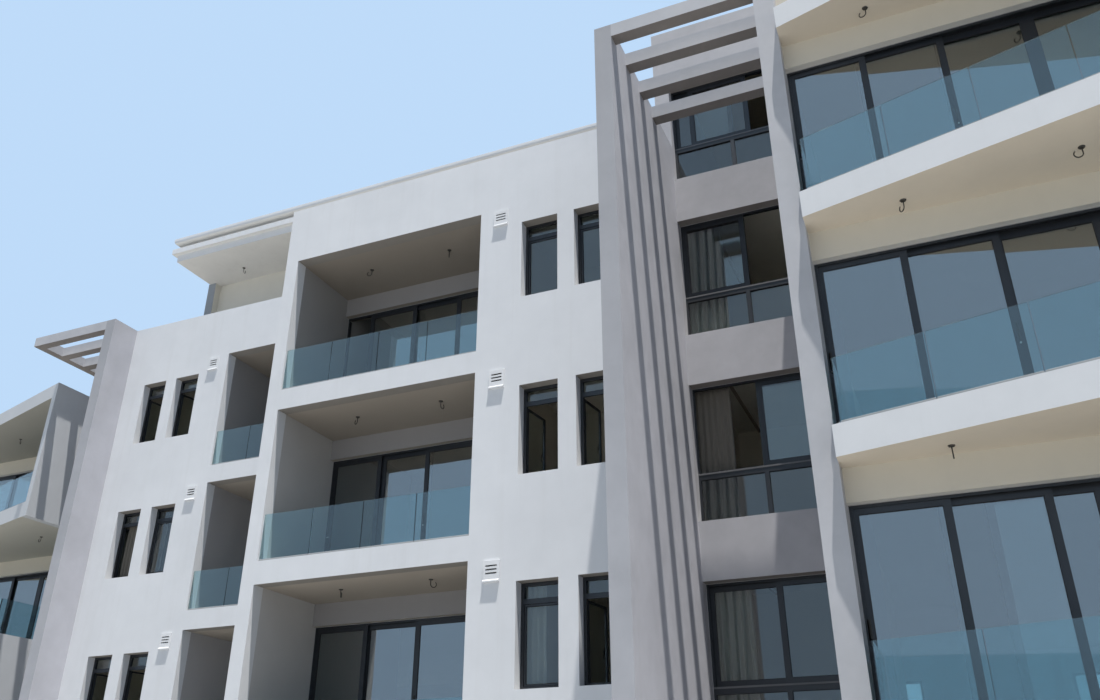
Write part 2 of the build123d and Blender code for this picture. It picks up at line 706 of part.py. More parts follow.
# Move to the middle of the outline and write one file for each node
front = min(right_edge(right_end), pergola_front)
to_origin = Pos(-(left_end + right_end) / 2, -(front + rear_face) / 2, plinth)
os.makedirs("parts", exist_ok=True)
for name, shape in nodes.items():
    solids = shape if isinstance(shape, list) else [shape]
    moved = [to_origin * solid for solid in solids]
    export_step(moved[0] if len(moved) == 1 else Compound(moved), f"parts/{name}.step")
print(len(nodes), "nodes")
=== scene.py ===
import math
import random

import bmesh
import bpy
from mathutils import Matrix, Vector


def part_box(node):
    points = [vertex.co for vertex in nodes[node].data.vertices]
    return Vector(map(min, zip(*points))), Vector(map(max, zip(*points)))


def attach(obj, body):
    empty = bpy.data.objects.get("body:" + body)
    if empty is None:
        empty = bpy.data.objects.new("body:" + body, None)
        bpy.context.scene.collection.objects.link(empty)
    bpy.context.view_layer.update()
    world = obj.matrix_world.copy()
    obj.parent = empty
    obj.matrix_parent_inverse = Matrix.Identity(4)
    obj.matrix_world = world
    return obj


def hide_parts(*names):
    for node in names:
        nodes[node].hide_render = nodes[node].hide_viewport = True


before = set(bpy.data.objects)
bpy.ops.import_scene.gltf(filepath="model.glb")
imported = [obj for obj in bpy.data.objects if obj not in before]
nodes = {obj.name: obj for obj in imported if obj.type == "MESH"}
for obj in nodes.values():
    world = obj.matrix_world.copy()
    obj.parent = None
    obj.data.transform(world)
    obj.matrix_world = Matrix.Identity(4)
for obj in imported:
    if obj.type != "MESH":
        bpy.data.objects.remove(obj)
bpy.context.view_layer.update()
scene = bpy.context.scene
print("frame loaded,", len(nodes), "nodes")

# Places are in metres from the corner where the right wing steps out, at the ground floor's level
cornerX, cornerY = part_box("right_wing_front_wall")[0][:2]
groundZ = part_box("plinth")[1].z
storey = 3.2
floors = range(4)


def place(x, y, z):
    return Vector((cornerX + x, cornerY + y, groundZ + z))


def moved(x, y, z):
    return Matrix.Translation((x, y, z))


def turned(degrees, axis):
    return Matrix.Rotation(math.radians(degrees), 4, axis)


# Camera: its place and angles come from the building's own straight edges
cameraValues = {"lens": 31.43, "sensor": 36.0, "reach": 800,
                "x": 11.32, "y": -12.961, "z": 2.315, "turn": 23.35, "pitch": 26.507, "roll": 0.047}


def makeCamera(v):
    data = bpy.data.cameras.new("photoCamera")
    data.lens = v["lens"]
    data.sensor_width = v["sensor"]
    data.clip_end = v["reach"]
    camera = bpy.data.objects.new("photoCamera", data)
    aim = turned(v["turn"], "Z") @ turned(90 + v["pitch"], "X") @ turned(v["roll"], "Z")
    camera.matrix_world = Matrix.Translation(place(v["x"], v["y"], v["z"])) @ aim
    scene.collection.objects.link(camera)
    scene.camera = camera


makeCamera(cameraValues)

# Light: dim blue surroundings, a pale backdrop, and one high lamp from the front right
lightValues = {"surroundings": (0.52, 0.72, 1.0, 1), "surroundingsStrength": 0.42,
               "backdrop": (0.52, 0.71, 0.95, 1),
               "lampStrength": 7.4, "lampDirection": (-0.143, 0.130, -1.0), "lampAngle": 0.6,
               "lampColor": (1.0, 0.97, 0.92)}


def makeWorld(v):
    world = bpy.data.worlds.new("studio")
    scene.world = world
    world.use_nodes = True
    tree = world.node_tree
    tree.nodes.clear()
    path = tree.nodes.new("ShaderNodeLightPath")
    seen = path.outputs["Is Camera Ray"]
    for ray in ("Is Glossy Ray", "Is Transmission Ray"):
        either = tree.nodes.new("ShaderNodeMath")
        either.operation = "MAXIMUM"
        tree.links.new(seen, either.inputs[0])
        tree.links.new(path.outputs[ray], either.inputs[1])
        seen = either.outputs[0]
    soft = tree.nodes.new("ShaderNodeBackground")
    soft.inputs["Color"].default_value = v["surroundings"]
    soft.inputs["Strength"].default_value = v["surroundingsStrength"]
    backdrop = tree.nodes.new("ShaderNodeBackground")
    backdrop.inputs["Color"].default_value = v["backdrop"]
    mix = tree.nodes.new("ShaderNodeMixShader")
    tree.links.new(seen, mix.inputs[0])
    tree.links.new(soft.outputs[0], mix.inputs[1])
    tree.links.new(backdrop.outputs[0], mix.inputs[2])
    output = tree.nodes.new("ShaderNodeOutputWorld")
    tree.links.new(mix.outputs[0], output.inputs[0])


def makeLamp(v):
    lamp = bpy.data.lights.new("highLamp", "SUN")
    lamp.energy = v["lampStrength"]
    lamp.color = v["lampColor"]
    lamp.angle = math.radians(v["lampAngle"])
    holder = bpy.data.objects.new("highLamp", lamp)
    holder.rotation_mode = "QUATERNION"
    holder.rotation_quaternion = Vector(v["lampDirection"]).to_track_quat("-Z", "Y")
    scene.collection.objects.link(holder)


makeWorld(lightValues)
makeLamp(lightValues)
scene.view_settings.view_transform = "Standard"
print("camera and light placed")


# Shader helpers
def newGroup(name, inputs, outputs):
    group = bpy.data.node_groups.new(name, "ShaderNodeTree")
    for socketName, kind, value in inputs:
        socket = group.interface.new_socket(socketName, in_out="INPUT", socket_type=kind)
        if value is not None:
            socket.default_value = value
    for socketName, kind in outputs:
        group.interface.new_socket(socketName, in_out="OUTPUT", socket_type=kind)
    return group, group.nodes.new("NodeGroupInput"), group.nodes.new("NodeGroupOutput")


def noiseNode(tree, vector, scale, detail, roughness=0.55, stretch=None):
    if stretch:
        mapping = tree.nodes.new("ShaderNodeMapping")
        mapping.inputs["Scale"].default_value = stretch
        tree.links.new(vector, mapping.inputs["Vector"])
        vector = mapping.outputs[0]
    noise = tree.nodes.new("ShaderNodeTexNoise")
    noise.inputs["Scale"].default_value = scale
    noise.inputs["Detail"].default_value = detail
    noise.inputs["Roughness"].default_value = roughness
    tree.links.new(vector, noise.inputs["Vector"])
    return noise.outputs["Fac"]


def rangeNode(tree, value, fromLow, fromHigh, toLow, toHigh):
    node = tree.nodes.new("ShaderNodeMapRange")
    node.inputs["From Min"].default_value = fromLow
    node.inputs["From Max"].default_value = fromHigh
    node.inputs["To Min"].default_value = toLow
    node.inputs["To Max"].default_value = toHigh
    tree.links.new(value, node.inputs["Value"])
    return node.outputs["Result"]


# Links what comes from a node, and writes what is a plain value
def feed(tree, value, socket):
    if hasattr(value, "is_linked"):
        tree.links.new(value, socket)
    else:
        socket.default_value = value


def mathNode(tree, operation, a, b):
    node = tree.nodes.new("ShaderNodeMath")
    node.operation = operation
    feed(tree, a, node.inputs[0])
    feed(tree, b, node.inputs[1])
    return node.outputs[0]


# Where a Mix node keeps its factor, its two colours and its mixed colour
mixSockets = {"factor": 0, "first": 6, "second": 7, "mixed": 2}


def mixColor(tree, factor, a, b, blend="MIX"):
    node = tree.nodes.new("ShaderNodeMix")
    node.data_type = "RGBA"
    node.blend_type = blend
    feed(tree, factor, node.inputs[mixSockets["factor"]])
    feed(tree, a, node.inputs[mixSockets["first"]])
    feed(tree, b, node.inputs[mixSockets["second"]])
    return node.outputs[mixSockets["mixed"]]


def addBump(tree, height, shader, strength, distance):
    bump = tree.nodes.new("ShaderNodeBump")
    bump.inputs["Strength"].default_value = strength
    bump.inputs["Distance"].default_value = distance
    tree.links.new(height, bump.inputs["Height"])
    tree.links.new(bump.outputs[0], shader.inputs["Normal"])


def darker(color, share):
    return tuple(part * share for part in color[:3]) + (1,)


# Shared effect: broad and cloudy patches on paint, and dust that has run down the walls
weatherValues = {"detail": 5.0, "roughness": 0.6, "shown": (0.3, 0.7),
                 "broadScale": 0.55, "broadShare": 0.6, "cloudScale": 2.6, "cloudShare": 0.4,
                 "runStretch": (5.5, 5.5, 0.22), "runDetail": 4.0, "runShown": (0.52, 0.78),
                 "gloss": (0.72, 0.9)}


def buildPaintGroup(v):
    group, given, made = newGroup("paintWeather", [
        ("Vector", "NodeSocketVector", None), ("Color", "NodeSocketColor", (0.8, 0.8, 0.8, 1)),
        ("Patches", "NodeSocketFloat", 0.05), ("Streaks", "NodeSocketFloat", 0.05),
        ("Dust", "NodeSocketColor", (0.45, 0.43, 0.4, 1))],
        [("Color", "NodeSocketColor"), ("Roughness", "NodeSocketFloat")])
    vector = given.outputs["Vector"]
    broad = noiseNode(group, vector, v["broadScale"], v["detail"], v["roughness"])
    cloudy = noiseNode(group, vector, v["cloudScale"], v["detail"], v["roughness"])
    both = mathNode(group, "ADD",
                    rangeNode(group, broad, *v["shown"], -v["broadShare"], v["broadShare"]),
                    rangeNode(group, cloudy, *v["shown"], -v["cloudShare"], v["cloudShare"]))
    lift = mathNode(group, "ADD", mathNode(group, "MULTIPLY", both, given.outputs["Patches"]), 1.0)
    grey = group.nodes.new("ShaderNodeCombineColor")
    for channel in grey.inputs[:3]:
        group.links.new(lift, channel)
    toned = mixColor(group, 1.0, given.outputs["Color"], grey.outputs[0], "MULTIPLY")
    runs = noiseNode(group, vector, 1.0, v["runDetail"], v["roughness"], stretch=v["runStretch"])
    runMask = rangeNode(group, runs, *v["runShown"], 0.0, 1.0)
    runAmount = mathNode(group, "MULTIPLY", runMask, given.outputs["Streaks"])
    stained = mixColor(group, runAmount, toned, given.outputs["Dust"])
    group.links.new(stained, made.inputs["Color"])
    group.links.new(rangeNode(group, cloudy, *v["shown"], *v["gloss"]), made.inputs["Roughness"])
    return group


# Shared effect: grains of sand and long sweeps of the trowel
trowelValues = {"grainScale": 140.0, "grainDetail": 2.0, "sweepScale": 3.2, "sweepDetail": 3.0,
                "sweepRoughness": 0.5, "sweepStretch": (1, 1, 0.6)}


def buildTrowelGroup(v):
    group, given, made = newGroup("trowelMarks", [("Vector", "NodeSocketVector", None),
                                                  ("Grain", "NodeSocketFloat", 1.0),
                                                  ("Sweep", "NodeSocketFloat", 1.0)],
                                  [("Height", "NodeSocketFloat")])
    vector = given.outputs["Vector"]
    sand = noiseNode(group, vector, v["grainScale"], v["grainDetail"])
    waves = noiseNode(group, vector, v["sweepScale"], v["sweepDetail"], v["sweepRoughness"],
                      stretch=v["sweepStretch"])
    grain = mathNode(group, "MULTIPLY", sand, given.outputs["Grain"])
    sweep = mathNode(group, "MULTIPLY", waves, given.outputs["Sweep"])
    group.links.new(mathNode(group, "ADD", grain, sweep), made.inputs["Height"])
    return group


paintGroup = buildPaintGroup(weatherValues)
trowelGroup = buildTrowelGroup(trowelValues)


def newMaterial(name):
    material = bpy.data.materials.new(name)
    material.use_nodes = True
    return material, material.node_tree.nodes["Principled BSDF"]


def objectPlace(tree):
    return tree.nodes.new("ShaderNodeTexCoord").outputs["Object"]


# Square floor tiles, with a paler and a darker tone and dark joints
tileValues = {"size": 0.6, "joint": 0.004, "jointSoft": 0.3, "otherTile": 0.93, "jointTone": 0.55}


def tilePattern(tree, coordinates, color, v):
    tiles = tree.nodes.new("ShaderNodeTexBrick")
    tiles.offset = 0.0
    tiles.inputs["Scale"].default_value = 1.0
    tiles.inputs["Brick Width"].default_value = v["size"]
    tiles.inputs["Row Height"].default_value = v["size"]
    tiles.inputs["Mortar Size"].default_value = v["joint"]
    tiles.inputs["Mortar Smooth"].default_value = v["jointSoft"]
    tiles.inputs["Color1"].default_value = color
    tiles.inputs["Color2"].default_value = darker(color, v["otherTile"])
    tiles.inputs["Mortar"].default_value = darker(color, v["jointTone"])
    tree.links.new(coordinates, tiles.inputs["Vector"])
    return tiles.outputs["Color"]


# Painted render whose right-hand faces, undersides and tops can each take a tone of their own. Most of these
# tones are painted light and shade: lit and shaded sides, and painted shade and bounce light under things.
# The tops also carry dust and tiles. A height shade is a low and a high level and the tone's share at each,
# painted light and shade that changes with height: one is for right-hand faces and undersides, the other for
# the other upright faces.
renderValues = {"turned": 0.5, "grain": 0.35, "sweep": 1.0, "bump": 0.35, "bumpDepth": 0.01}


# Scales a colour with height: painted light and shade that changes with height
def heightShadedColor(tree, color, height, heightShade):
    return mixColor(tree, 1.0, color, rangeNode(tree, height, *heightShade), "MULTIPLY")


def paintedRender(name, side, right=None, under=None, top=None, tiled=False, patches=0.05, streaks=0.05,
                  heightShade=None, sideHeightShade=None):
    v = renderValues
    material, shader = newMaterial(name)
    tree = material.node_tree
    coordinates = objectPlace(tree)
    level = tree.nodes.new("ShaderNodeSeparateXYZ")
    tree.links.new(coordinates, level.inputs[0])
    height = level.outputs["Z"]
    if heightShade and right:
        right = heightShadedColor(tree, right, height, heightShade)
    if heightShade and under:
        under = heightShadedColor(tree, under, height, heightShade)
    color = heightShadedColor(tree, side, height, sideHeightShade) if sideHeightShade else side
    geometry = tree.nodes.new("ShaderNodeNewGeometry")
    facing = tree.nodes.new("ShaderNodeSeparateXYZ")
    tree.links.new(geometry.outputs["Normal"], facing.inputs[0])
    # Right-hand faces and undersides take their own tones, mostly painted light and shade; tops take dust,
    # tiles and painted shade
    if right:
        outward = mathNode(tree, "GREATER_THAN", facing.outputs["X"], v["turned"])
        color = mixColor(tree, outward, color, right)
    if under:
        below = mathNode(tree, "LESS_THAN", facing.outputs["Z"], -v["turned"])
        color = mixColor(tree, below, color, under)
    if top:
        above = mathNode(tree, "GREATER_THAN", facing.outputs["Z"], v["turned"])
        covering = tilePattern(tree, coordinates, top, tileValues) if tiled else top
        color = mixColor(tree, above, color, covering)
    weather = tree.nodes.new("ShaderNodeGroup")
    weather.node_tree = paintGroup
    weather.inputs["Patches"].default_value = patches
    weather.inputs["Streaks"].default_value = streaks
    feed(tree, color, weather.inputs["Color"])
    tree.links.new(coordinates, weather.inputs["Vector"])
    tree.links.new(weather.outputs["Color"], shader.inputs["Base Color"])
    tree.links.new(weather.outputs["Roughness"], shader.inputs["Roughness"])
    marks = tree.nodes.new("ShaderNodeGroup")
    marks.node_tree = trowelGroup
    marks.inputs["Grain"].default_value = v["grain"]
    marks.inputs["Sweep"].default_value = v["sweep"]
    tree.links.new(coordinates, marks.inputs["Vector"])
    addBump(tree, marks.outputs["Height"], shader, v["bump"], v["bumpDepth"])
    return material


# Coated or bare metal, and what is as smooth: a little dust, and flecks in the gloss
metalValues = {"dustScale": 1.7, "dustDetail": 4.0, "dustShown": (0.35, 0.75), "dust": 0.35,
               "paler": 1.9, "lifted": 0.012,
               "fleckScale": 60.0, "fleckDetail": 2.0, "fleckShown": (0.3, 0.7)}


def coatedMetal(name, color, roughness=0.42, speckle=0.08):
    v = metalValues
    material, shader = newMaterial(name)
    tree = material.node_tree
    coordinates = objectPlace(tree)
    flecks = noiseNode(tree, coordinates, v["fleckScale"], v["fleckDetail"])
    dust = noiseNode(tree, coordinates, v["dustScale"], v["dustDetail"])
    dusty = tuple(min(1, part * v["paler"] + v["lifted"]) for part in color[:3]) + (1,)
    tone = mixColor(tree, rangeNode(tree, dust, *v["dustShown"], 0.0, v["dust"]), color, dusty)
    tree.links.new(tone, shader.inputs["Base Color"])
    gloss = rangeNode(tree, flecks, *v["fleckShown"], roughness - speckle, roughness + speckle)
    tree.links.new(gloss, shader.inputs["Roughness"])
    return material


# Woven cloth: threads both ways along the piece's own UV map, and a worn tone
clothValues = {"along": 900, "across": 14, "threadDetail": 2.0, "threadShown": (0.8, 1.2),
               "threadTone": 0.86, "wornScale": 2.5, "wornDetail": 3.0, "wornShown": (0.35, 0.75),
               "worn": 0.25, "wornTone": 0.8, "roughness": 0.92, "sheen": 0.25,
               "bump": 0.3, "bumpDepth": 0.001}


def wovenCloth(name, color):
    v = clothValues
    material, shader = newMaterial(name)
    tree = material.node_tree
    weave = tree.nodes.new("ShaderNodeUVMap")
    weave.uv_map = "weave"
    uv = weave.outputs["UV"]
    warp = noiseNode(tree, uv, 1.0, v["threadDetail"], stretch=(v["along"], v["across"], 1))
    weft = noiseNode(tree, uv, 1.0, v["threadDetail"], stretch=(v["across"], v["along"], 1))
    threads = mathNode(tree, "ADD", warp, weft)
    worn = noiseNode(tree, uv, v["wornScale"], v["wornDetail"])
    tone = mixColor(tree, rangeNode(tree, threads, *v["threadShown"], 0.0, 1.0),
                    darker(color, v["threadTone"]), color)
    toned = mixColor(tree, rangeNode(tree, worn, *v["wornShown"], 0.0, v["worn"]), tone,
                     darker(color, v["wornTone"]))
    tree.links.new(toned, shader.inputs["Base Color"])
    shader.inputs["Roughness"].default_value = v["roughness"]
    shader.inputs["Sheen Weight"].default_value = v["sheen"]
    addBump(tree, threads, shader, v["bump"], v["bumpDepth"])
    return material


# Clear tinted glass with a thin uneven film on it
glassValues = {"filmScale": 1.3, "filmDetail": 4.0, "filmShown": (0.4, 0.8), "film": 0.03}


def clearGlass(name, tint, index):
    v = glassValues
    material, shader = newMaterial(name)
    tree = material.node_tree
    shader.inputs["Transmission Weight"].default_value = 1.0
    shader.inputs["IOR"].default_value = index
    shader.inputs["Base Color"].default_value = tint
    film = noiseNode(tree, objectPlace(tree), v["filmScale"], v["filmDetail"])
    tree.links.new(rangeNode(tree, film, *v["filmShown"], 0.0, v["film"]), shader.inputs["Roughness"])
    return material


white = (0.71, 0.725, 0.755, 1)
# Tones for tops, darker than the paint so the high lamp does not bleach them: dust and painted shade on the
# render, painted shade on the tiles and on the grey render
dustAndShadeTop = (0.33, 0.325, 0.315, 1)
tileTop = (0.34, 0.325, 0.30, 1)
greyTop = (0.29, 0.285, 0.28, 1)
materials = {
    "whiteRender": paintedRender("whiteRender", white, top=dustAndShadeTop, streaks=0.10),
    # White render whose undersides are dark: painted shade under the heads of the openings
    "whiteFront": paintedRender("whiteFront", white, under=(0.26, 0.24, 0.22, 1), top=dustAndShadeTop,
                                streaks=0.10),
    # White render whose undersides are paler: painted bounce light under the copings
    "whiteCornice": paintedRender("whiteCornice", white, under=(0.80, 0.79, 0.77, 1), top=dustAndShadeTop,
                                  streaks=0.12),
    # Balcony slabs: the warm, paler undersides are painted bounce light and grow darker higher up as painted
    # shade
    "balconySlab": paintedRender("balconySlab", (0.77, 0.78, 0.80, 1), under=(0.73, 0.65, 0.545, 1),
                                 top=tileTop, tiled=True, streaks=0.06, heightShade=(9.9, 13.0, 1.0, 0.87)),
    "shadedSlab": paintedRender("shadedSlab", (0.58, 0.595, 0.62, 1), under=(0.48, 0.465, 0.415, 1),
                                top=tileTop, tiled=True, streaks=0.06, heightShade=(9.9, 13.0, 1.04, 0.70)),
    # White render of the fins, darkened as painted shade
    "finWhiteShaded": paintedRender("finWhiteShaded", (0.57, 0.59, 0.62, 1), top=dustAndShadeTop, streaks=0.08),
    # White render whose right-hand faces are grey, lighter lower down and darker higher up: painted shade
    "cornerRender": paintedRender("cornerRender", white, right=(0.43, 0.42, 0.415, 1), top=dustAndShadeTop,
                                  streaks=0.08, heightShade=(8.2, 11.8, 1.22, 0.72)),
    "creamRender": paintedRender("creamRender", (0.60, 0.56, 0.48, 1), under=(0.68, 0.66, 0.63, 1),
                                 top=dustAndShadeTop, streaks=0.04),
    "penthouseRender": paintedRender("penthouseRender", (0.68, 0.665, 0.61, 1), under=(0.82, 0.81, 0.77, 1),
                                     top=dustAndShadeTop, streaks=0.04),
    "endPaint": paintedRender("endPaint", (0.30, 0.33, 0.37, 1), streaks=0.03),
    # Grey loggia paint, darkened as painted shade; right-hand faces lighter as painted light, undersides warm
    # as painted bounce light, both darker higher up as painted shade
    "loggiaGreyAndShade": paintedRender("loggiaGreyAndShade", (0.29, 0.28, 0.285, 1), right=(0.37, 0.36, 0.365, 1),
                                 under=(0.375, 0.33, 0.285, 1), streaks=0.03, heightShade=(5.9, 12.5, 1.15, 0.76)),
    "roomPaint": paintedRender("roomPaint", (0.78, 0.73, 0.63, 1), streaks=0.0),
    # Dark brown for the ceiling trims: painted shade for a shadow line
    "shadowLinePaint": paintedRender("shadowLinePaint", (0.44, 0.36, 0.30, 1), streaks=0.0),
    # Grey render whose undersides are dark: painted shade under the pergola beams and the fin
    "greyRender": paintedRender("greyRender", (0.455, 0.46, 0.49, 1), under=(0.215, 0.195, 0.185, 1),
                                top=greyTop, patches=0.14, streaks=0.10),
    # Darker copy of the grey render for the pergola legs: right-hand faces lighter as painted light, all
    # faces lighter lower down and darker higher up as painted light and shade, undersides dark as painted
    # shade
    "legRender": paintedRender("legRender", (0.39, 0.395, 0.425, 1), right=(0.49, 0.49, 0.53, 1),
                               under=(0.215, 0.195, 0.185, 1), top=greyTop, patches=0.12, streaks=0.10,
                               heightShade=(4.0, 15.0, 1.12, 0.90), sideHeightShade=(4.0, 15.0, 1.08, 0.86)),
    # Grey render of the bay walls whose undersides are dark: painted shade
    "greyBay": paintedRender("greyBay", (0.455, 0.45, 0.475, 1), under=(0.23, 0.21, 0.20, 1),
                             top=greyTop, patches=0.16, streaks=0.08),
    "towerRender": paintedRender("towerRender", (0.26, 0.265, 0.285, 1), under=(0.72, 0.62, 0.46, 1),
                                 top=greyTop, patches=0.14, streaks=0.08),
    "roomSlab": paintedRender("roomSlab", (0.55, 0.54, 0.52, 1), under=(0.86, 0.82, 0.74, 1), top=tileTop,
                              tiled=True, patches=0.08, streaks=0.0),
    "footing": paintedRender("footing", (0.36, 0.35, 0.335, 1), top=tileTop, tiled=True, patches=0.16,
                             streaks=0.25),
    "darkFrame": coatedMetal("darkFrame", (0.010, 0.012, 0.016, 1)),
    "ventWhite": coatedMetal("ventWhite", (0.70, 0.71, 0.73, 1), 0.5),
    "darkSteel": coatedMetal("darkSteel", (0.035, 0.032, 0.028, 1), 0.55),
    "lockSteel": coatedMetal("lockSteel", (0.62, 0.62, 0.60, 1), 0.25, 0.03),
    "channelMetal": coatedMetal("channelMetal", (0.30, 0.31, 0.32, 1), 0.35, 0.05),
    # Paler than the frames: a painted highlight along the bay window tracks
    "trackHighlight": coatedMetal("trackHighlight", (0.10, 0.10, 0.105, 1), 0.5, 0.05),
    "rubber": coatedMetal("rubber", (0.012, 0.012, 0.013, 1), 0.75, 0.05),
    "sealant": coatedMetal("sealant", (0.30, 0.30, 0.31, 1), 0.6, 0.05),
    "curtainLinen": wovenCloth("curtainLinen", (0.58, 0.55, 0.49, 1)),
    "curtainBrown": wovenCloth("curtainBrown", (0.19, 0.175, 0.15, 1)),
    "windowGlass": clearGlass("windowGlass", (0.66, 0.73, 0.72, 1), 1.66),
    "doorGlass": clearGlass("doorGlass", (0.48, 0.58, 0.58, 1), 2.45),
    "railGlass": clearGlass("railGlass", (0.59, 0.80, 0.83, 1), 1.65),
}
finishOf = {
    "plinth": "footing", "floor_slab_1": "roomSlab", "floor_slab_2": "roomSlab", "floor_slab_3": "roomSlab",
    "roof_deck": "roomSlab", "loggia_walls": "loggiaGreyAndShade", "loggia_ceilings": "loggiaGreyAndShade",
    "right_block_front_wall": "creamRender", "left_block_front_wall": "creamRender",
    "right_wing_front_wall": "whiteFront", "left_wing_front_wall": "whiteFront", "white_fins": "finWhiteShaded",
    "corner_wall": "cornerRender", "right_balcony_slabs": "balconySlab", "left_balcony_slabs": "shadedSlab",
    "right_bay_wall": "greyBay", "left_bay_wall": "greyBay", "right_pergola_leg": "legRender",
    "left_pergola_leg": "legRender", "right_pergola_beams": "greyRender", "left_pergola_beams": "greyRender",
    "tall_fin": "greyRender", "stair_tower": "towerRender", "wall_vents": "ventWhite",
    "penthouse_roof": "whiteCornice", "roof_copings": "whiteCornice", "penthouse_walls": "penthouseRender",
    "right_balcony_door_glass": "doorGlass", "left_balcony_door_glass": "doorGlass",
    "right_loggia_door_glass": "doorGlass", "left_loggia_door_glass": "doorGlass",
}
finishByEnd = {"balustrade": "railGlass", "glass": "windowGlass", "frames": "darkFrame", "doors": "darkFrame"}


def finishNode(name, node):
    finish = finishOf.get(name) or finishByEnd.get(name.split("_")[-1], "whiteRender")
    node.data.materials.clear()
    node.data.materials.append(materials[finish])


for name, node in nodes.items():
    finishNode(name, node)
print("materials placed")


# Pieces: each part is made at the origin and then added to its piece
def addPart(bm, part, matrix):
    mesh = bpy.data.meshes.new("part")
    part.to_mesh(mesh)
    part.free()
    mesh.transform(matrix)
    bm.from_mesh(mesh)
    bpy.data.meshes.remove(mesh)


sharpAngle = 0.3  # in radians, what counts as an edge to soften


def softenEdges(part, width):
    sharp = [edge for edge in part.edges if edge.calc_face_angle(0) > sharpAngle]
    bmesh.ops.bevel(part, geom=sharp, offset=width, affect="EDGES", segments=1, profile=0.5, material=-1)


def onlyVerts(geometry):
    return [item for item in geometry if isinstance(item, bmesh.types.BMVert)]


def finishPiece(name, bm, finish):
    mesh = bpy.data.meshes.new(name)
    bm.to_mesh(mesh)
    bm.free()
    mesh.materials.append(materials[finish])
    piece = bpy.data.objects.new(name, mesh)
    scene.collection.objects.link(piece)
    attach(piece, "root")
    return piece


# Block of a given size with its middle at the matrix's origin
def addBlock(bm, size, matrix, edge=0.0):
    part = bmesh.new()
    bmesh.ops.create_cube(part, size=1.0)
    bmesh.ops.scale(part, vec=size, verts=part.verts)
    if edge:
        softenEdges(part, edge)
    addPart(bm, part, matrix)


# Upright ring with its lower left front corner at the matrix's origin, width along x and depth along y
def addRing(bm, width, height, bar, depth, matrix, edge=0.0):
    part = bmesh.new()
    bmesh.ops.create_grid(part, x_segments=1, y_segments=1, size=0.5)
    bmesh.ops.scale(part, vec=(width, height, 1), verts=part.verts)
    part.faces.ensure_lookup_table()
    middle = part.faces[0]
    rim = bmesh.ops.inset_individual(part, faces=[middle], thickness=bar)["faces"]
    bmesh.ops.delete(part, geom=[middle], context="FACES")
    raised = bmesh.ops.extrude_face_region(part, geom=rim)["geom"]
    bmesh.ops.translate(part, vec=(0, 0, depth), verts=onlyVerts(raised))
    bmesh.ops.recalc_face_normals(part, faces=part.faces)
    if edge:
        softenEdges(part, edge)
    addPart(bm, part, matrix @ moved(width / 2, depth, height / 2) @ turned(90, "X"))


def addRod(bm, radius, length, matrix, segments):
    part = bmesh.new()
    bmesh.ops.create_cone(part, cap_ends=True, segments=segments, radius1=radius, radius2=radius,
                          depth=length)
    addPart(bm, part, matrix)


# Lowest and highest corner, and the foot's corners, of each separate solid of a CAD node
solidValues = {"merge": 0.0001, "footHeight": 0.001}


def solidsOf(name):
    v = solidValues
    bm = bmesh.new()
    bm.from_mesh(nodes[name].data)
    bmesh.ops.remove_doubles(bm, verts=bm.verts, dist=v["merge"])
    waiting = set(bm.verts)
    solids = []
    for first in bm.verts:
        if first not in waiting:
            continue
        waiting.discard(first)
        island = [first]
        for vert in island:
            for edge in vert.link_edges:
                other = edge.other_vert(vert)
                if other in waiting:
                    waiting.discard(other)
                    island.append(other)
        low = Vector([min(vert.co[n] for vert in island) for n in range(3)])
        high = Vector([max(vert.co[n] for vert in island) for n in range(3)])
        foot = [vert.co.copy() for vert in island if vert.co.z < low.z + v["footHeight"]]
        solids.append({"low": low, "high": high, "foot": foot})
    bm.free()
    return solids


# Small windows: an upper light, and under it a sash that is shut or turned into the room.
# Each wing gives its loggia's jamb, the side of it that the windows are on, and its wall's face;
# turned gives the degrees for a wing, floor and column.
smallWindowValues = {"wings": {"right": {"jamb": 4.35, "side": 1, "face": 0.0},
                               "left": {"jamb": -3.76, "side": -1, "face": 2.765}},
                     "columns": 2, "offset": 0.825,
                     "width": 0.685, "gap": 0.312, "sill": 0.884, "head": 2.42, "frame": 0.05,
                     "transom": 0.278, "transomHalf": 0.039, "frameFront": 0.19, "frameBack": 0.25,
                     "sashBar": 0.044, "sashDepth": 0.040, "sashEdge": 0.003, "clearance": 0.004,
                     "shutBehind": 0.012, "turnedBehind": 0.002,
                     "pane": 0.008, "paneBite": 0.005, "upperBite": 0.02, "upperBehind": 0.036,
                     "handleLevel": 0.45, "handlePlate": (0.026, 0.012, 0.11), "plateEdge": 0.003,
                     "handleGrip": (0.016, 0.014, 0.13), "gripPlace": (0, 0.02, -0.05), "gripEdge": 0.004,
                     "turned": {("right", 2, 0): 84, ("right", 2, 1): 84, ("right", 1, 1): 82,
                                ("left", 3, 0): 80, ("left", 3, 1): 84, ("left", 2, 1): 83,
                                ("left", 1, 0): 84, ("left", 1, 1): 84}}


def addUpperLight(panes, v, left, width, face, level):
    top = level + v["head"] - v["frame"]
    foot = level + v["head"] - v["transom"] + v["transomHalf"]
    height = top - foot + v["upperBite"]
    middle = place(left + width / 2, face + v["frameFront"] + v["upperBehind"], top - height / 2)
    addBlock(panes, (width, v["pane"], height), Matrix.Translation(middle))


